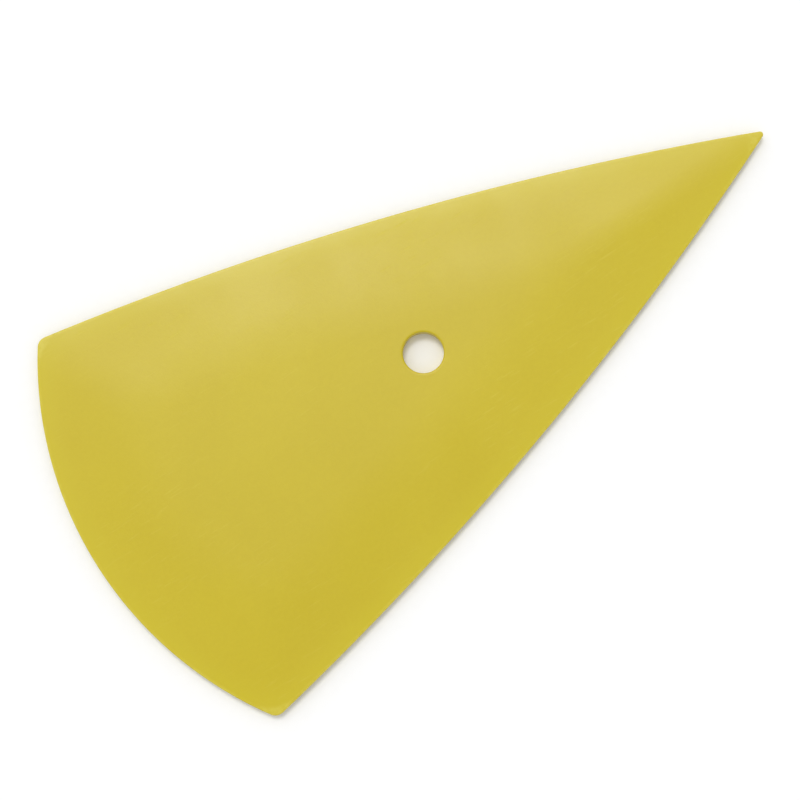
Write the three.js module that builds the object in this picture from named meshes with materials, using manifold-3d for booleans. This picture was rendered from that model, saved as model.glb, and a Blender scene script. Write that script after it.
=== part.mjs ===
// Contour squeegee: a pointed hand card, moulded in one piece, for pressing film into curves and corners.
// Millimetres. +X runs from the back edge to the tip, +Y across the card, +Z up through its thickness.
// The origin is under the middle of the card, on the surface that it lies on.
//
// Three bowed edges bound the card: two long side edges that meet at the tip, and the back edge. Each edge
// has the same section on both faces: an eased rim, a wide bevel, a soft crease, then the flat middle. So
// the card is what three turned discs share, one disc for each edge, less its rounded corners and its hole.
// The back edge's disc bounds the card only behind its own axis, because the tip lies beyond its far rim.

import * as THREE from 'three';
import { mergeVertices, toCreasedNormals } from 'three/addons/utils/BufferGeometryUtils.js';
import Module from 'manifold-3d';

const wasm = await Module();
wasm.setup();

// Outline. The spans are to the sharp corners, before these are rounded.
const BACK_SPAN = 93; // between the two back corners
const TIP_REACH = 151.4; // from the line between the back corners to the tip
const SIDE_RADIUS = 685; // bow of each long edge
const BACK_RADIUS = 81.2; // bow of the back edge
const BACK_CORNER_ROUND = 2.3;
const TIP_ROUND = 0.7;

// Section
const MIDDLE_THICKNESS = 3.2;
const EDGE_THICKNESS = 1.2;
const BEVEL_WIDTH = 18; // from an edge to the middle of its crease
const CREASE_WIDTH = 11; // the band in which the bevel levels out
const RIM_EASE = 0.3;

// Hang hole, on the card's long axis
const HOLE_DIAMETER = 8.5;
const HOLE_FROM_BACK = 80.5; // from the middle of the back edge to the hole's centre
const HOLE_EASE = 0.4;

// How finely the round stretches are divided
const SIDE_FACETS = 720; // in a whole turn
const BACK_FACETS = 240;
const HOLE_FACETS = 48;
const CORNER_STEPS = 6;
const CREASE_STEPS = 5;
const EASE_STEPS = 3;

const YELLOW = '#d2c04a';
const CREASE_ANGLE = THREE.MathUtils.degToRad(20); // edges sharper than this are shaded as sharp
const WELD = 1e-4; // vertices closer than this are one

/**
 * Half of the card's thickness across one edge, as points from the rim inwards.
 * @param {number} radius the edge's own radius, from its disc's axis to the rim
 * @returns {THREE.Vector2[]} x is the distance from the axis, y the height above mid-plane
 */
function edgeSection(radius) {
  const rim = EDGE_THICKNESS / 2;
  const top = MIDDLE_THICKNESS / 2;
  const slope = (top - rim) / BEVEL_WIDTH;
  const ease = new THREE.QuadraticBezierCurve(
    new THREE.Vector2(radius, rim - RIM_EASE),
    new THREE.Vector2(radius, rim),
    new THREE.Vector2(radius - RIM_EASE, rim + slope * RIM_EASE),
  );
  const bevelEnd = BEVEL_WIDTH - CREASE_WIDTH / 2;
  const crease = new THREE.QuadraticBezierCurve(
    new THREE.Vector2(radius - bevelEnd, rim + slope * bevelEnd),
    new THREE.Vector2(radius - BEVEL_WIDTH, top),
    new THREE.Vector2(radius - BEVEL_WIDTH - CREASE_WIDTH / 2, top),
  );
  return [...ease.getPoints(EASE_STEPS), ...crease.getPoints(CREASE_STEPS), new THREE.Vector2(0, top)];
}

/**
 * Turns a half section into a solid that is the same above and below the mid-plane.
 * @param {THREE.Vector2[]} upper points above the mid-plane, from the rim to the axis
 * @param {number} facets flats in a whole turn
 * @returns {THREE.LatheGeometry} the turned solid, with its axis along Z
 */
function turned(upper, facets) {
  const lower = upper.map((point) => new THREE.Vector2(point.x, -point.y)).reverse();
  return new THREE.LatheGeometry([...lower, ...upper], facets).rotateX(Math.PI / 2);
}

/**
 * Makes a solid for joining and cutting.
 * @param {THREE.BufferGeometry} geometry a closed surface, its faces out
 * @returns {object} the solid
 */
function solidOf(geometry) {
  geometry.deleteAttribute('normal');
  geometry.deleteAttribute('uv');
  const welded = mergeVertices(geometry, WELD);
  return new wasm.Manifold(new wasm.Mesh({
    numProp: 3,
    vertProperties: welded.attributes.position.array,
    triVerts: welded.index.array,
  }));
}

/**
 * Makes a shaded surface of a solid.
 * @param {object} solid
 * @returns {THREE.BufferGeometry}
 */
function surfaceOf(solid) {
  const { vertProperties, triVerts } = solid.getMesh();
  const geometry = new THREE.BufferGeometry();
  geometry.setAttribute('position', new THREE.BufferAttribute(vertProperties, 3));
  geometry.setIndex(new THREE.BufferAttribute(triVerts, 1));
  return toCreasedNormals(geometry, CREASE_ANGLE);
}

/**
 * Centres of the three edges' bows, and the corners where the edges meet, with the line between the back
 * corners at x = 0.
 * @returns {object} left, right and back, the edges, each with its centre, radius and facets; and corners,
 *   in order round the card, each with its round, its sharp point and the two edges that meet there
 */
function plan() {
  const tip = new THREE.Vector2(TIP_REACH, 0);
  const sideEdge = (side) => {
    const corner = new THREE.Vector2(0, (side * BACK_SPAN) / 2);
    const along = tip.clone().sub(corner);
    const rise = Math.sqrt(SIDE_RADIUS ** 2 - along.lengthSq() / 4);
    const inwards = new THREE.Vector2(along.y, -along.x).setLength(side * rise);
    const centre = corner.add(tip).multiplyScalar(0.5).add(inwards);
    return { centre, radius: SIDE_RADIUS, facets: SIDE_FACETS };
  };
  const left = sideEdge(1);
  const right = sideEdge(-1);
  const back = {
    centre: new THREE.Vector2(Math.sqrt(BACK_RADIUS ** 2 - BACK_SPAN ** 2 / 4), 0),
    radius: BACK_RADIUS,
    facets: BACK_FACETS,
  };
  const backCorner = (side) => new THREE.Vector2(0, (side * BACK_SPAN) / 2);
  const corners = [
    { before: right, after: left, round: TIP_ROUND, point: tip },
    { before: left, after: back, round: BACK_CORNER_ROUND, point: backCorner(1) },
    { before: back, after: right, round: BACK_CORNER_ROUND, point: backCorner(-1) },
  ];
  return { left, right, back, corners };
}

/**
 * Centre of the round that touches both edges of a corner from inside.
 * @param {object} corner
 * @returns {THREE.Vector2}
 */
function roundCentre({ before, after, round, point }) {
  const reachBefore = before.radius - round;
  const reachAfter = after.radius - round;
  const across = after.centre.clone().sub(before.centre);
  const apart = across.length();
  const along = (apart ** 2 + reachBefore ** 2 - reachAfter ** 2) / (2 * apart);
  const foot = before.centre.clone().addScaledVector(across, along / apart);
  const sideways = new THREE.Vector2(-across.y, across.x).setLength(Math.sqrt(reachBefore ** 2 - along ** 2));
  const choices = [foot.clone().add(sideways), foot.clone().sub(sideways)];
  return choices.reduce((a, b) => (a.distanceTo(point) < b.distanceTo(point) ? a : b));
}

/**
 * Rounds the corners: an outline that follows each corner's round, and between two corners runs outside
 * the edge's bow, along its tangents.
 * @param {object[]} corners
 * @returns {THREE.Shape}
 */
function cornerGuard(corners) {
  const rounds = corners.map((corner) => {
    const centre = roundCentre(corner);
    const facing = (edge) => centre.clone().sub(edge.centre).angle();
    return { centre, radius: corner.round, start: facing(corner.before), end: facing(corner.after) };
  });
  const shape = new THREE.Shape();
  rounds.forEach((round, i) => {
    const next = rounds[(i + 1) % rounds.length];
    const turn = THREE.MathUtils.euclideanModulo(next.start - round.end, 2 * Math.PI);
    shape.absarc(round.centre.x, round.centre.y, round.radius, round.start, round.end, false);
    const { centre, radius } = corners[i].after;
    const outside = radius / Math.cos(turn / 2);
    const middle = round.end + turn / 2;
    shape.lineTo(centre.x + outside * Math.cos(middle), centre.y + outside * Math.sin(middle));
  });
  shape.closePath();
  return shape;
}

/**
 * Everything that the back edge allows: its disc behind the axis, and a block in front of it, which is as
 * high as the disc's flat middle where they meet.
 * @param {object} back the back edge
 * @param {object} disc its disc, as a solid
 * @returns {object} the solid
 */
function openInFront(back, disc) {
  const block = new THREE.BoxGeometry(TIP_REACH, 2 * BACK_SPAN, MIDDLE_THICKNESS);
  return disc.add(solidOf(block.translate(back.centre.x + TIP_REACH / 2, 0, 0)));
}

/**
 * What is cut away for the hang hole: a plug with a flare at each mouth that eases the hole's lips.
 * @returns {THREE.BufferGeometry}
 */
function holePlug() {
  const radius = HOLE_DIAMETER / 2;
  const mouth = MIDDLE_THICKNESS / 2;
  const flare = new THREE.EllipseCurve(
    radius + HOLE_EASE, mouth - HOLE_EASE, HOLE_EASE, HOLE_EASE, Math.PI, Math.PI / 2, true,
  );
  const above = new THREE.Vector2(radius + HOLE_EASE, 2 * mouth);
  return turned([...flare.getPoints(EASE_STEPS), above, new THREE.Vector2(0, 2 * mouth)], HOLE_FACETS);
}

/**
 * The card, with its mid-plane at z = 0 and the line between its back corners at x = 0.
 * @param {object} layout the edges and corners, as plan gives them
 * @returns {THREE.BufferGeometry}
 */
function bladeSurface({ left, right, back, corners }) {
  const discOf = ({ centre, radius, facets }) => (
    solidOf(turned(edgeSection(radius), facets).translate(centre.x, centre.y, 0))
  );
  const guard = new THREE.ExtrudeGeometry(cornerGuard(corners), {
    depth: 2 * MIDDLE_THICKNESS,
    curveSegments: CORNER_STEPS,
    bevelEnabled: false,
  }).translate(0, 0, -MIDDLE_THICKNESS);
  const plug = holePlug().translate(back.centre.x - back.radius + HOLE_FROM_BACK, 0, 0);
  const card = discOf(left).intersect(discOf(right)).intersect(openInFront(back, discOf(back)));
  return surfaceOf(card.intersect(solidOf(guard)).subtract(solidOf(plug)));
}

const layout = plan();
const tipEnd = roundCentre(layout.corners[0]).x + TIP_ROUND;
const backEnd = layout.back.centre.x - BACK_RADIUS;

const blade = new THREE.Mesh(
  bladeSurface(layout),
  new THREE.MeshStandardMaterial({ color: YELLOW, roughness: 0.45, metalness: 0 }),
);
blade.name = 'squeegee_blade';
blade.position.set(-(tipEnd + backEnd) / 2, 0, MIDDLE_THICKNESS / 2);

const squeegee = new THREE.Group();
squeegee.add(blade);

export default squeegee;
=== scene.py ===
"""Looks of a contour squeegee: a pointed hand card, moulded in one piece, lying on a pale table.

Metres throughout, in the part's own frame: +X runs from the back edge to the tip, +Y across the card, and
+Z up through its thickness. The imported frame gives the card's place and the room that it fills.
"""

import logging
import math
from dataclasses import dataclass, field
from enum import Enum

import bpy
import numpy as np
from mathutils import Matrix, Vector


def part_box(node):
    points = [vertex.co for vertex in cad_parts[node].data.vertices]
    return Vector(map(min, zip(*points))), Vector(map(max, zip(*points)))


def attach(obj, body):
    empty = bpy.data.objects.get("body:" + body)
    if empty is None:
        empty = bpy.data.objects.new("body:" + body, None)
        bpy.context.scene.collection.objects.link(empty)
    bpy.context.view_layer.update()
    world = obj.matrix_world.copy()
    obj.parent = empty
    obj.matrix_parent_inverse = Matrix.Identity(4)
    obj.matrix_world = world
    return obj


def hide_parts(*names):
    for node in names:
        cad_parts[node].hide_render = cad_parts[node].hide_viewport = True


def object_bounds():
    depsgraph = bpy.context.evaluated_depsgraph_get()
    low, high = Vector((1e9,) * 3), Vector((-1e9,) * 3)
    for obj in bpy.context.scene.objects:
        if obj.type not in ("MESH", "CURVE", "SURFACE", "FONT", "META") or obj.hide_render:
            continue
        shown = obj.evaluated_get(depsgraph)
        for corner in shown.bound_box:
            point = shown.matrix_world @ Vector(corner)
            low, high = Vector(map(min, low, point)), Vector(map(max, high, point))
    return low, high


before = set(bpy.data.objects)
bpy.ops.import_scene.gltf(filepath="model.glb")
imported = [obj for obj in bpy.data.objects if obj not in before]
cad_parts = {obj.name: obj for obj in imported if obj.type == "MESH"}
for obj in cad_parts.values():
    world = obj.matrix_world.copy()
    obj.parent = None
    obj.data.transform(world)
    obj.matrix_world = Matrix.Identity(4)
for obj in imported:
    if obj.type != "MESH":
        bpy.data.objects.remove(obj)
cad_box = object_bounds()

MM = 0.001
log = logging.getLogger("squeegee")

Colour = tuple[float, float, float, float]
Socket = bpy.types.NodeSocket
Value = Socket | float | tuple[float, ...]


class Edge(Enum):
    """The card's three bowed edges."""

    LEFT = "left"
    RIGHT = "right"
    BACK = "back"


@dataclass(frozen=True)
class Bow:
    """A circle in plan that an edge or a rounded corner follows."""

    centre: np.ndarray
    radius: float

    def inset(self, points: np.ndarray) -> np.ndarray:
        """How far inside the circle each point lies.

        Args:
            points: places in plan, one to a row.

        Returns:
            The distance inwards from the circle, one for each point.
        """
        return self.radius - np.linalg.norm(points - self.centre, axis=1)

    def heading(self, point: np.ndarray) -> float:
        """The direction of a point from the centre, in radians."""
        across = point - self.centre
        return math.atan2(across[1], across[0])


@dataclass(frozen=True)
class Outline:
    """Plan of the card: two long bowed edges that meet in a tip, and a bowed back edge."""

    back_span: float = 93 * MM
    tip_reach: float = 151.4 * MM
    side_radius: float = 685 * MM
    back_radius: float = 81.2 * MM
    back_corner_round: float = 2.3 * MM
    tip_round: float = 0.7 * MM
    edge_step: float = 1.25 * MM
    fewest_edge_steps: int = 8
    corner_steps: int = 12

    def edge(self, which: Edge) -> Bow:
        """The circle that an edge follows.

        Args:
            which: the edge.

        Returns:
            Its circle, with the line between the back corners at x = 0.
        """
        if which is Edge.BACK:
            forward = math.sqrt(self.back_radius**2 - (self.back_span / 2) ** 2)
            return Bow(np.array([forward, 0.0]), self.back_radius)
        side = 1 if which is Edge.LEFT else -1
        corner = np.array([0.0, side * self.back_span / 2])
        tip = np.array([self.tip_reach, 0.0])
        along = tip - corner
        chord = np.linalg.norm(along)
        inwards = np.array([along[1], -along[0]]) * side / chord
        rise = math.sqrt(self.side_radius**2 - (chord / 2) ** 2)
        return Bow((corner + tip) / 2 + inwards * rise, self.side_radius)

    def corner(self, before: Edge, after: Edge) -> Bow:
        """The round that touches two edges from inside, where they meet.

        Args:
            before: the edge that ends there, going counter-clockwise.
            after: the edge that begins there.

        Returns:
            The corner's circle.
        """
        at_tip = Edge.BACK not in (before, after)
        radius = self.tip_round if at_tip else self.back_corner_round
        first, second = self.edge(before), self.edge(after)
        reach_first, reach_second = first.radius - radius, second.radius - radius
        across = second.centre - first.centre
        apart = np.linalg.norm(across)
        along = (apart**2 + reach_first**2 - reach_second**2) / (2 * apart)
        foot = first.centre + across * along / apart
        sideways = np.array([-across[1], across[0]]) / apart * math.sqrt(reach_first**2 - along**2)
        side = 1 if Edge.LEFT in (before, after) else -1
        sharp = np.array([self.tip_reach, 0.0] if at_tip else [0.0, side * self.back_span / 2])
        centre = min((foot + sideways, foot - sideways), key=lambda place: np.linalg.norm(place - sharp))
        return Bow(centre, radius)

    def ends(self) -> tuple[float, float]:
        """Where the outline begins and ends along X.

        Returns:
            The middle of the back edge, and the point of the tip.
        """
        back = self.edge(Edge.BACK)
        tip = self.corner(Edge.RIGHT, Edge.LEFT)
        return back.centre[0] - back.radius, tip.centre[0] + tip.radius

    def walk(self) -> tuple[np.ndarray, np.ndarray]:
        """Follows the outline once round, counter-clockwise from the tip.

        Returns:
            Points on the outline and the outward directions there, one to a row.
        """
        order = (Edge.LEFT, Edge.BACK, Edge.RIGHT)
        points, outwards = [], []
        for place, edge in enumerate(order):
            before, after = order[place - 1], order[(place + 1) % len(order)]
            near, far = self.corner(before, edge), self.corner(edge, after)
            bow = self.edge(edge)
            corner_start = self.edge(before).heading(near.centre)
            edge_start, edge_end = bow.heading(near.centre), bow.heading(far.centre)
            edge_turn = (edge_end - edge_start) % math.tau
            edge_steps = max(self.fewest_edge_steps, round(edge_turn * bow.radius / self.edge_step))
            stretches = (
                (near, corner_start, (edge_start - corner_start) % math.tau, self.corner_steps),
                (bow, edge_start, edge_turn, edge_steps),
            )
            for circle, start, turn, steps in stretches:
                angles = start + turn * np.arange(steps) / steps
                facing = np.column_stack((np.cos(angles), np.sin(angles)))
                points.append(circle.centre + facing * circle.radius)
                outwards.append(facing)
        return np.vstack(points), np.vstack(outwards)


@dataclass(frozen=True)
class Section:
    """How thick the card is: a flat middle, and wide bevels down to thin working edges."""

    middle_thickness: float = 3.2 * MM
    edge_thickness: float = 1.2 * MM
    bevel_width: float = 18 * MM
    crease_width: float = 11 * MM
    mitre_softness: float = 5.5 * MM

    def blended(self, first: np.ndarray, second: np.ndarray) -> np.ndarray:
        """The smaller of two distances, rounded off where they are nearly the same.

        Args:
            first: distances from one edge.
            second: distances from another.

        Returns:
            The blended distances.
        """
        soft = self.mitre_softness
        overlap = np.clip(soft - np.abs(first - second), 0, None) / soft
        return np.minimum(first, second) - overlap**2 * soft / 4

    def half_thickness(self, inset: np.ndarray) -> np.ndarray:
        """Height of a face above mid-plane.

        Args:
            inset: distances inwards from the edges.

        Returns:
            The heights, one for each distance.
        """
        rim, rise = self.edge_thickness / 2, (self.middle_thickness - self.edge_thickness) / 2
        width, half_crease = self.bevel_width, self.crease_width / 2
        into_crease = np.clip(inset - (width - half_crease), 0, 2 * half_crease)
        return rim + rise / width * (
            np.minimum(inset, width + half_crease)
            - into_crease**2 / (4 * half_crease)
        )


@dataclass(frozen=True)
class HangHole:
    """The round hole that the card hangs by."""

    diameter: float = 8.5 * MM
    from_back: float = 80.5 * MM
    lip_ease: float = 0.4 * MM
    wall_steps: int = 4
    lip_steps: int = 6


@dataclass(frozen=True)
class Rim:
    """The thin wall all round the card, with the fine line where the mould's halves met.

    The line begins on the wall at twice its half height, and at its half height it still has line_root of
    its rise to go before its crest on the mid-plane.
    """

    ease: float = 0.3 * MM
    ease_steps: int = 5
    draft: float = 0.02 * MM
    line_proud: float = 0.03 * MM
    line_half_height: float = 0.05 * MM
    line_root: float = 0.85


@dataclass
class MouldedBlade:
    """The whole card: one moulding with bevels on both faces, a thin rim and a hang hole."""

    outline: Outline = field(default_factory=Outline)
    section: Section = field(default_factory=Section)
    hole: HangHole = field(default_factory=HangHole)
    rim: Rim = field(default_factory=Rim)
    face_steps: int = 62
    end_crowding: float = 0.72
    name: str = "moulded_blade"
    stands_for: str = "squeegee_blade"

    def inset(self, points: np.ndarray) -> np.ndarray:
        """Distance inwards from the nearest edges, blended along the mitres.

        Args:
            points: places in plan, one to a row.

        Returns:
            The distances, one for each point.
        """
        left, right = (self.outline.edge(side).inset(points) for side in (Edge.LEFT, Edge.RIGHT))
        back = self.outline.edge(Edge.BACK)
        behind = points.copy()
        behind[:, 0] = np.minimum(behind[:, 0], back.centre[0])
        return self.section.blended(self.section.blended(left, right), back.inset(behind))

    def height(self, points: np.ndarray) -> np.ndarray:
        """Height of a broad face above mid-plane at places in plan, one to a row."""
        return self.section.half_thickness(self.inset(points))

    def rim_rings(self, points: np.ndarray, outwards: np.ndarray) -> list[np.ndarray]:
        """The rim's upper half, from the bevel down to the mould line.

        Args:
            points: the outline.
            outwards: the outward directions there.

        Returns:
            Rings of points, each as long as the outline, from the bevel outwards.
        """
        rim = self.rim
        shoulder = points - outwards * rim.ease
        crown = self.height(shoulder)
        wall_inset = rim.line_proud + rim.draft
        corner_height = self.height(points - outwards * wall_inset)
        wall_top = corner_height - rim.ease
        rings = []
        for share in np.linspace(0, 1, rim.ease_steps + 1):
            start, middle, end = (1 - share) ** 2, 2 * share * (1 - share), share**2
            inwards = start * rim.ease + (middle + end) * wall_inset
            height = start * crown + middle * corner_height + end * wall_top
            rings.append(np.column_stack((points - outwards * inwards, height)))
        for inwards, height in (
            (rim.line_proud, 2 * rim.line_half_height),
            (rim.line_proud * rim.line_root, rim.line_half_height),
        ):
            rings.append(np.column_stack((points - outwards * inwards, np.full(len(points), height))))
        return rings

    def hole_rings(self, facing: np.ndarray, centre: np.ndarray) -> list[np.ndarray]:
        """The hole's upper half, from mid-plane up and over its eased lip.

        Args:
            facing: the direction of each column from the hole's centre.
            centre: the hole's centre in plan.

        Returns:
            Rings of points, from mid-plane to the flat middle.
        """
        hole = self.hole
        radius = hole.diameter / 2
        mouth = self.height(centre + facing * (radius + hole.lip_ease))
        rings = []
        for share in np.arange(1, hole.wall_steps) / hole.wall_steps:
            rings.append(np.column_stack((centre + facing * radius, (mouth - hole.lip_ease) * share)))
        for turn in np.linspace(0, math.pi / 2, hole.lip_steps + 1):
            out = radius + hole.lip_ease * (1 - math.cos(turn))
            down = hole.lip_ease * (1 - math.sin(turn))
            rings.append(np.column_stack((centre + facing * out, mouth - down)))
        return rings

    def upper_rings(self) -> tuple[np.ndarray, list[np.ndarray], np.ndarray]:
        """The upper half of the card's skin, as rings round it.

        Returns:
            The ring at mid-plane in the hole, the rings from there over the top face, and the ring
            at mid-plane on the rim.
        """
        points, outwards = self.outline.walk()
        begin, _ = self.outline.ends()
        centre = np.array([begin + self.hole.from_back, 0.0])
        rim_rings = self.rim_rings(points, outwards)
        shoulder = rim_rings[0][:, :2]
        across = shoulder - centre
        facing = across / np.linalg.norm(across, axis=1)[:, None]
        hole_rings = self.hole_rings(facing, centre)
        lip = hole_rings[-1][:, :2]
        face_rings = []
        for share in np.arange(1, self.face_steps) / self.face_steps:
            crowded = (1 - math.cos(math.pi * share)) / 2
            place = (1 - self.end_crowding) * share + self.end_crowding * crowded
            ground = lip + (shoulder - lip) * place
            face_rings.append(np.column_stack((ground, self.height(ground))))
        level = np.zeros(len(points))
        in_hole = np.column_stack((centre + facing * self.hole.diameter / 2, level))
        on_rim = np.column_stack((points, level))
        return in_hole, hole_rings + face_rings + rim_rings, on_rim

    def build(self, box: tuple[Vector, Vector]) -> bpy.types.Object:
        """Makes the card's mesh where the frame has it.

        Args:
            box: lowest and highest corner of the card in the frame.

        Returns:
            The card, as a closed skin of four-sided faces.
        """
        in_hole, upper, on_rim = self.upper_rings()
        over_mid_plane = (1, 1, -1)
        underside = [ring * over_mid_plane for ring in reversed(upper)]
        rings = np.stack([in_hole, *upper, on_rim, *underside])
        count, columns, _ = rings.shape
        flat = rings.reshape(-1, 3)
        begin, end = self.outline.ends()
        place = (box[0] + box[1]) / 2 - Vector(((begin + end) / 2, 0, 0))
        mesh = bpy.data.meshes.new(self.name)
        ring, column = np.meshgrid(np.arange(count), np.arange(columns), indexing="ij")
        next_ring, next_column = (ring + 1) % count, (column + 1) % columns
        corners = ((ring, column), (next_ring, column), (next_ring, next_column), (ring, next_column))
        faces = np.stack([r * columns + c for r, c in corners], axis=-1).reshape(-1, 4)
        mesh.from_pydata((flat + np.array(place)).tolist(), [], faces.tolist())
        mesh.shade_smooth()
        from_edge = mesh.attributes.new("from_edge", "FLOAT", "POINT")
        from_edge.data.foreach_set("value", self.inset(flat[:, :2]).astype(np.float32))
        mesh.validate()
        card = bpy.data.objects.new(self.name, mesh)
        bpy.context.scene.collection.objects.link(card)
        return card

    def dress(self, card: bpy.types.Object, finish: "SatinPlastic") -> None:
        """Gives the card its finish and its place in the frame.

        Args:
            card: the mesh that build made.
            finish: what it is moulded in.
        """
        card.data.materials.append(finish.material())
        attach(card, "root")
        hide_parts(self.stands_for)


class NodeGraph:
    """A tree of shader nodes, with short ways to add nodes and join them."""

    def __init__(self, tree: bpy.types.NodeTree) -> None:
        """Starts with an empty tree.

        Args:
            tree: a material's or a world's node tree.
        """
        self.tree = tree
        tree.nodes.clear()

    def add(
        self, kind: str, inputs: dict[str | int, Value] | None = None, **settings: object
    ) -> bpy.types.Node:
        """Adds a node.

        Args:
            kind: the node's type.
            inputs: what goes into each socket: another node's output, or a constant.
            settings: the node's own properties.

        Returns:
            The node.
        """
        node = self.tree.nodes.new(kind)
        for name, setting in settings.items():
            setattr(node, name, setting)
        for socket, value in (inputs or {}).items():
            if isinstance(value, Socket):
                self.tree.links.new(value, node.inputs[socket])
            else:
                node.inputs[socket].default_value = value
        return node

    def noise(self, where: Socket, size: float, detail: float, roughness: float = 0.5) -> Socket:
        """Soft random values.

        Args:
            where: the coordinates.
            size: breadth of the largest blotches, in metres.
            detail: how many finer levels are added.
            roughness: how strong the finer levels are.

        Returns:
            Values about 0.5.
        """
        wanted = {"Vector": where, "Scale": 1 / size, "Detail": detail, "Roughness": roughness}
        return self.add("ShaderNodeTexNoise", wanted).outputs["Fac"]

    def spread(self, value: Value, low: float, high: float, to_low: float, to_high: float) -> Socket:
        """Maps a range of values smoothly to another range.

        Args:
            value: what is mapped.
            low: where the range begins.
            high: where it ends.
            to_low: what low becomes.
            to_high: what high becomes.

        Returns:
            The mapped values.
        """
        wanted = {"Value": value, "From Min": low, "From Max": high, "To Min": to_low, "To Max": to_high}
        return self.add("ShaderNodeMapRange", wanted, interpolation_type="SMOOTHSTEP").outputs["Result"]

    def combine(self, operation: str, first: Value, second: Value) -> Socket:
        """Joins two values by arithmetic.

        Args:
            operation: its name, such as ADD.
            first: the first value.
            second: the second value.

        Returns:
            The result.
        """
        return self.add("ShaderNodeMath", {0: first, 1: second}, operation=operation).outputs[0]

    def mix_colour(self, share: Value, first: Value, second: Value) -> Socket:
        """Mixes two colours.

        Args:
            share: how much of the second.
            first: the first colour.
            second: the second colour.

        Returns:
            The mixed colour.
        """
        mix = self.add("ShaderNodeMix", data_type="RGBA", blend_type="MIX")
        for name, value in (("Factor_Float", share), ("A_Color", first), ("B_Color", second)):
            socket = next(s for s in mix.inputs if s.identifier == name)
            if isinstance(value, Socket):
                self.tree.links.new(value, socket)
            else:
                socket.default_value = value
        return next(s for s in mix.outputs if s.identifier == "Result_Color")


@dataclass(frozen=True)
class Mottle:
    """A soft blotchy pattern, stretched so that it runs from one level to another."""

    size: float
    detail: float
    low: float
    high: float
    to_low: float
    to_high: float
    roughness: float = 0.5

    def values(self, graph: NodeGraph, where: Socket) -> Socket:
        """Adds the pattern to a material.

        Args:
            graph: the material's nodes.
            where: the coordinates.

        Returns:
            Values from to_low to to_high.
        """
        blotches = graph.noise(where, self.size, self.detail, self.roughness)
        return graph.spread(blotches, self.low, self.high, self.to_low, self.to_high)


@dataclass(frozen=True)
class Roughening:
    """An unevenness of the surface itself, from slight waves to fine grain."""

    size: float
    detail: float
    depth: float
    strength: float = 0.5
    roughness: float = 0.5

    def height(self, graph: NodeGraph, where: Socket) -> Socket:
        """Adds the unevenness to a material, as shares of its depth."""
        return graph.noise(where, self.size, self.detail, self.roughness)


@dataclass(frozen=True)
class Scuffs:
    """Fine short strokes along a few headings, in degrees, as handling leaves them, fainter in patches."""

    breadth: float = 0.45 * MM
    detail: float = 1.0
    breadth_to_length: float = 0.07
    headings: tuple[float, ...] = (20, -52, 84)
    faintest: float = 0.66
    strongest: float = 0.80
    patches: Mottle = Mottle(size=25 * MM, detail=2.0, low=0.40, high=0.62, to_low=0.15, to_high=1)
    depth: float = 0.012 * MM
    strength: float = 0.5
    paler: float = 0.2
    duller: float = 0.12

    def strokes(self, graph: NodeGraph, where: Socket) -> Socket:
        """Adds the strokes to a material.

        Args:
            graph: the material's nodes.
            where: the coordinates.

        Returns:
            Values from 0, clear, to 1, in the middle of a stroke.
        """
        strokes = None
        for heading in self.headings:
            # Each heading is also shifted by its own amount, so that no two share a pattern.
            along = graph.add("ShaderNodeMapping", {
                "Vector": where, "Rotation": (0, 0, math.radians(heading)),
                "Location": (heading * MM, 0, 0), "Scale": (self.breadth_to_length, 1, 1),
            })
            lines = graph.noise(along.outputs["Vector"], self.breadth, self.detail)
            sharp = graph.spread(lines, self.faintest, self.strongest, 0, 1)
            strokes = sharp if strokes is None else graph.combine("MAXIMUM", strokes, sharp)
        return graph.combine("MULTIPLY", strokes, self.patches.values(graph, where))


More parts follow.
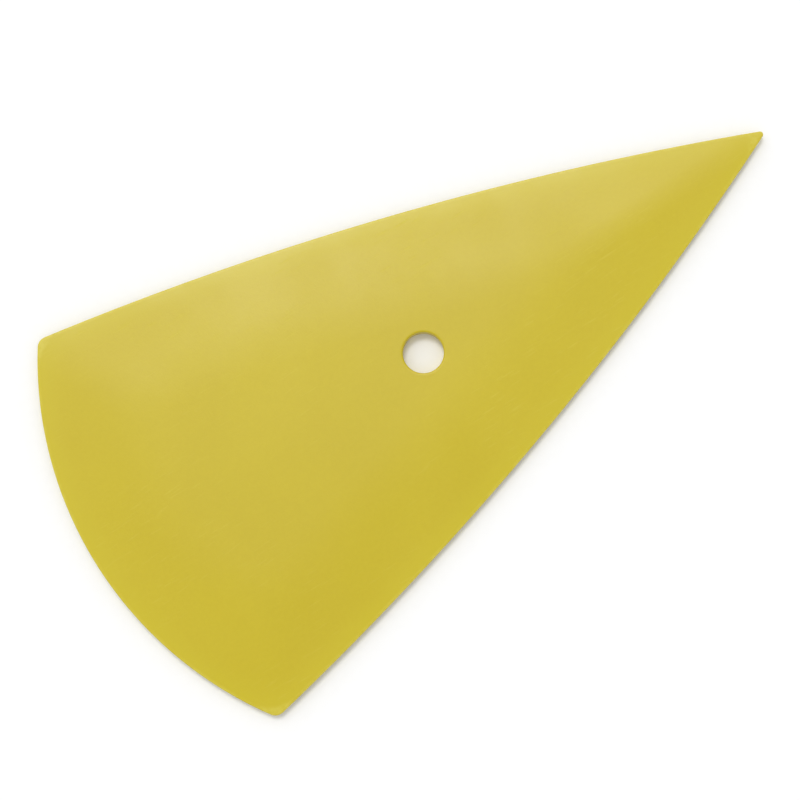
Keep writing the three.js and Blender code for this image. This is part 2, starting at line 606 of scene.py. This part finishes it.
@dataclass(frozen=True)
class SatinPlastic:
    """Yellow plastic as it comes from a finely blasted mould, a little translucent.

    Handling has scuffed it lightly and worn its rims smoother. Two marks in its colour are painted light: a
    glow of light through the thin edges, and a highlight line along the rims.
    """

    body: Colour = (0.531, 0.417, 0.003, 1)
    pale_cloud: Colour = (0.562, 0.449, 0.006, 1)
    # A lighter, clearer yellow painted near the thin edges: a painted glow standing in for light shining
    # through the plastic there.
    painted_thin_edge_glow: Colour = (0.570, 0.466, 0.009, 1)
    # A pale yellow: the colour of the paler scuffs, which are wear, and of a painted highlight line along
    # the rims.
    pale_scuff_and_rim_highlight: Colour = (0.665, 0.585, 0.080, 1)
    clouds: Mottle = Mottle(size=34 * MM, detail=3.0, low=0.32, high=0.68, to_low=0, to_high=0.6)
    pigment: Mottle = Mottle(
        size=0.9 * MM, detail=3.0, low=0.3, high=0.7, to_low=0, to_high=0.4, roughness=0.7
    )
    # Width and strength of the painted glow of light through the thin edges.
    painted_glow_width: float = 6 * MM
    painted_glow_share: float = 0.8
    # Width and mottled strength of the painted highlight line along the rims.
    painted_rim_highlight_width: float = 0.9 * MM
    painted_rim_highlight_share: Mottle = Mottle(size=1.6 * MM, detail=3.0, low=0.35, high=0.65, to_low=0.1, to_high=0.5)
    scuffs: Scuffs = Scuffs()
    roughness: float = 0.385
    gloss_patches: Mottle = Mottle(size=22 * MM, detail=3.0, low=0.3, high=0.7, to_low=-0.03, to_high=0.03)
    worn_width: float = 3.5 * MM
    worn_smoother: float = 0.06
    worn_share: Mottle = Mottle(size=5 * MM, detail=3.0, low=0.3, high=0.7, to_low=0.4, to_high=1)
    waves: Roughening = Roughening(size=30 * MM, detail=1.0, depth=0.08 * MM)
    grain: Roughening = Roughening(size=0.4 * MM, detail=3.0, depth=0.03 * MM, roughness=0.6)
    ior: float = 1.5
    subsurface: float = 0.10
    scatter_reach: tuple[float, float, float] = (1.4 * MM, 1.1 * MM, 0.2 * MM)

    def material(self) -> bpy.types.Material:
        """Makes the material.

        Returns:
            A procedural material whose colour, roughness and surface all vary.
        """
        material = bpy.data.materials.new("satin_yellow_plastic")
        material.use_nodes = True
        graph = NodeGraph(material.node_tree)
        where = graph.add("ShaderNodeTexCoord").outputs["Object"]
        from_edge = graph.add("ShaderNodeAttribute", attribute_name="from_edge").outputs["Fac"]
        strokes = self.scuffs.strokes(graph, where)
        shader = graph.add("ShaderNodeBsdfPrincipled", {
            "Base Color": self.colour(graph, where, from_edge, strokes),
            "Roughness": self.gloss(graph, where, from_edge, strokes),
            "Normal": self.relief(graph, where, strokes),
            "IOR": self.ior,
            "Subsurface Weight": self.subsurface,
            "Subsurface Radius": self.scatter_reach,
            "Subsurface Scale": 1.0,
        })
        graph.add("ShaderNodeOutputMaterial", {"Surface": shader.outputs["BSDF"]})
        return material

    def colour(self, graph: NodeGraph, where: Socket, from_edge: Socket, strokes: Socket) -> Socket:
        """Faint clouds of pigment, a painted glow of light through the thin edges, paler scuffs, and a
        painted highlight line along the rims.

        Args:
            graph: the material's nodes.
            where: the coordinates.
            from_edge: the distance inwards from the nearest edges.
            strokes: where the scuffs are.

        Returns:
            The colour.
        """
        speckled = graph.combine("ADD", self.clouds.values(graph, where), self.pigment.values(graph, where))
        body = graph.mix_colour(speckled, self.body, self.pale_cloud)
        # Painted glow: the colour grows lighter towards the thin edges, standing in for light shining
        # through the plastic. moulded below carries this painted glow.
        thin = graph.spread(from_edge, 0, self.painted_glow_width, self.painted_glow_share, 0)
        moulded = graph.mix_colour(thin, body, self.painted_thin_edge_glow)
        scuffed = graph.combine("MULTIPLY", strokes, self.scuffs.paler)
        marked = graph.mix_colour(scuffed, moulded, self.pale_scuff_and_rim_highlight)
        # Painted highlight: a pale, mottled line along the rims, standing in for light catching the eased
        # rims.
        at_rim = graph.spread(from_edge, 0, self.painted_rim_highlight_width, 1, 0)
        rim = graph.combine("MULTIPLY", at_rim, self.painted_rim_highlight_share.values(graph, where))
        return graph.mix_colour(rim, marked, self.pale_scuff_and_rim_highlight)

    def gloss(self, graph: NodeGraph, where: Socket, from_edge: Socket, strokes: Socket) -> Socket:
        """Satin, a little uneven, duller in scuffs and smoother where the rims rub over film.

        Args:
            graph: the material's nodes.
            where: the coordinates.
            from_edge: the distance inwards from the nearest edges.
            strokes: where the scuffs are.

        Returns:
            The roughness.
        """
        satin = graph.combine("ADD", self.gloss_patches.values(graph, where), self.roughness)
        smoother = graph.spread(from_edge, 0, self.worn_width, -self.worn_smoother, 0)
        worn = graph.combine("MULTIPLY", smoother, self.worn_share.values(graph, where))
        dulled = graph.combine("MULTIPLY", strokes, self.scuffs.duller)
        return graph.combine("ADD", graph.combine("ADD", satin, worn), dulled)

    def relief(self, graph: NodeGraph, where: Socket, strokes: Socket) -> Socket:
        """The mould's fine blasted grain and the scuffs, over the slight waves of a thin moulding.

        Args:
            graph: the material's nodes.
            where: the coordinates.
            strokes: where the scuffs are.

        Returns:
            The surface's direction.
        """
        waves = graph.add("ShaderNodeBump", {
            "Height": self.waves.height(graph, where), "Strength": self.waves.strength,
            "Distance": self.waves.depth,
        })
        grain = graph.add("ShaderNodeBump", {
            "Height": self.grain.height(graph, where), "Strength": self.grain.strength,
            "Distance": self.grain.depth, "Normal": waves.outputs["Normal"],
        })
        cuts = graph.add("ShaderNodeBump", {
            "Height": strokes, "Strength": self.scuffs.strength, "Distance": self.scuffs.depth,
            "Normal": grain.outputs["Normal"],
        }, invert=True)
        return cuts.outputs["Normal"]


@dataclass(frozen=True)
class TablePaper:
    """Matt white backdrop paper."""

    white: Colour = (0.95, 0.95, 0.95, 1)
    shade: Colour = (0.94, 0.94, 0.94, 1)
    fibres: Mottle = Mottle(size=2 * MM, detail=4.0, low=0.3, high=0.7, to_low=0, to_high=1)
    roughness: float = 0.95
    specular_level: float = 0.1

    def material(self) -> bpy.types.Material:
        """Makes the material.

        Returns:
            A nearly even white, without shine.
        """
        material = bpy.data.materials.new("backdrop_paper")
        material.use_nodes = True
        graph = NodeGraph(material.node_tree)
        where = graph.add("ShaderNodeTexCoord").outputs["Object"]
        shader = graph.add("ShaderNodeBsdfPrincipled", {
            "Base Color": graph.mix_colour(self.fibres.values(graph, where), self.white, self.shade),
            "Roughness": self.roughness,
            "Specular IOR Level": self.specular_level,
        })
        graph.add("ShaderNodeOutputMaterial", {"Surface": shader.outputs["BSDF"]})
        return material


@dataclass(frozen=True)
class SoftLight:
    """A broad soft light, far enough off to light the whole table evenly.

    The azimuth is the compass direction that it stands in, counter-clockwise from +X. The spread is how
    wide the light looks from the card. They and the elevation are in degrees.
    """

    name: str
    azimuth: float
    elevation: float
    spread: float
    strength: float

    def build(self) -> bpy.types.Object:
        """Sets up the light, facing the card.

        Returns:
            The light.
        """
        around, up = math.radians(self.azimuth), math.radians(self.elevation)
        away = Vector((math.cos(around) * math.cos(up), math.sin(around) * math.cos(up), math.sin(up)))
        data = bpy.data.lights.new(self.name, "SUN")
        data.energy, data.angle = self.strength, math.radians(self.spread)
        light = bpy.data.objects.new(self.name, data)
        light.location = away
        light.rotation_mode = "QUATERNION"
        light.rotation_quaternion = (-away).to_track_quat("-Z", "Y")
        bpy.context.scene.collection.objects.link(light)
        return light


@dataclass
class Studio:
    """A white table in even air that is brightest low down, so that the table's far edge melts into it.

    The air is as bright as low_air up to the height low_until, and as overhead_air from overhead_from up.
    Both heights are shares of the way to straight overhead, as the sine of the elevation.
    """

    floor_breadth: float = 12.0
    floor_gap: float = 0.02 * MM
    overhead_air: float = 0.69
    low_air: float = 1.0
    low_until: float = 0.06
    overhead_from: float = 0.45
    paper: TablePaper = field(default_factory=TablePaper)
    lights: tuple[SoftLight, ...] = (
        SoftLight("window", azimuth=73, elevation=66, spread=20, strength=0.98),
        SoftLight("side_light", azimuth=102, elevation=40, spread=60, strength=0.45),
    )

    def build_floor(self) -> bpy.types.Object:
        """Lays the table's top just under the card.

        Returns:
            The table's top.
        """
        half = self.floor_breadth / 2
        corners = [(-half, -half, 0), (half, -half, 0), (half, half, 0), (-half, half, 0)]
        mesh = bpy.data.meshes.new("table_top")
        mesh.from_pydata(corners, [], [(0, 1, 2, 3)])
        mesh.materials.append(self.paper.material())
        floor = bpy.data.objects.new("table_top", mesh)
        floor.location.z = -self.floor_gap
        bpy.context.scene.collection.objects.link(floor)
        return floor

    def build_air(self) -> None:
        """Fills the room with even light, a little brighter towards the horizon."""
        world = bpy.data.worlds.new("studio_air")
        world.use_nodes = True
        graph = NodeGraph(world.node_tree)
        heading = graph.add("ShaderNodeTexCoord").outputs["Generated"]
        height = graph.add("ShaderNodeSeparateXYZ", {"Vector": heading}).outputs["Z"]
        strength = graph.spread(height, self.low_until, self.overhead_from, self.low_air, self.overhead_air)
        air = graph.add("ShaderNodeBackground", {"Color": (1, 1, 1, 1), "Strength": strength})
        graph.add("ShaderNodeOutputWorld", {"Surface": air.outputs["Background"]})
        bpy.context.scene.world = world

    def build(self) -> None:
        """Sets up the floor, the room's light and the soft lights."""
        self.build_floor()
        self.build_air()
        for light in self.lights:
            light.build()
        bpy.context.scene.view_settings.view_transform = "Standard"


@dataclass(frozen=True)
class CameraStand:
    """A camera nearly overhead, turned so that the tip points up and to the right.

    The azimuth is the compass direction that it stands in, counter-clockwise from -Y. It, the elevation and
    the roll are in degrees.
    """

    azimuth: float = -14.7
    elevation: float = 84.5
    roll: float = 18.4
    distance: float = 400 * MM
    aim_offset: tuple[float, float] = (-11.36 * MM, -5.48 * MM)
    half_width: float = 82.9 * MM
    sensor: float = 36.0
    sees_from: float = 0.01
    sees_to: float = 50.0

    def build(self, centre: Vector) -> bpy.types.Object:
        """Sets the camera up.

        Args:
            centre: the middle of the card.

        Returns:
            The camera, which is also made the scene's.
        """
        around, up = math.radians(self.azimuth), math.radians(self.elevation)
        away = Vector((math.sin(around) * math.cos(up), -math.cos(around) * math.cos(up), math.sin(up)))
        aim = centre + Vector((*self.aim_offset, 0))
        data = bpy.data.cameras.new("overhead_camera")
        data.sensor_width = self.sensor
        data.lens = self.sensor * self.distance / (2 * self.half_width)
        data.clip_start, data.clip_end = self.sees_from, self.sees_to
        camera = bpy.data.objects.new("overhead_camera", data)
        facing = (-away).to_track_quat("-Z", "Y").to_matrix().to_4x4()
        turned = facing @ Matrix.Rotation(math.radians(-self.roll), 4, "Z")
        camera.matrix_world = Matrix.Translation(aim + away * self.distance) @ turned
        bpy.context.scene.collection.objects.link(camera)
        bpy.context.scene.camera = camera
        return camera


def report(piece: bpy.types.Object) -> None:
    """Logs a piece's name, its faces and its size in millimetres."""
    size = ", ".join(f"{side / MM:.2f}" for side in piece.dimensions)
    log.info("%s: %d faces, %s mm", piece.name, len(piece.data.polygons), size)


def main() -> None:
    """Builds the card and the studio round it, and reports each piece."""
    logging.basicConfig(level=logging.INFO, format="%(name)s: %(message)s")
    blade = MouldedBlade()
    card = blade.build(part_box(blade.stands_for))
    blade.dress(card, SatinPlastic())
    report(card)
    middle = (cad_box[0] + cad_box[1]) / 2
    Studio().build()
    CameraStand().build(middle)


if __name__ == "__main__":
    main()
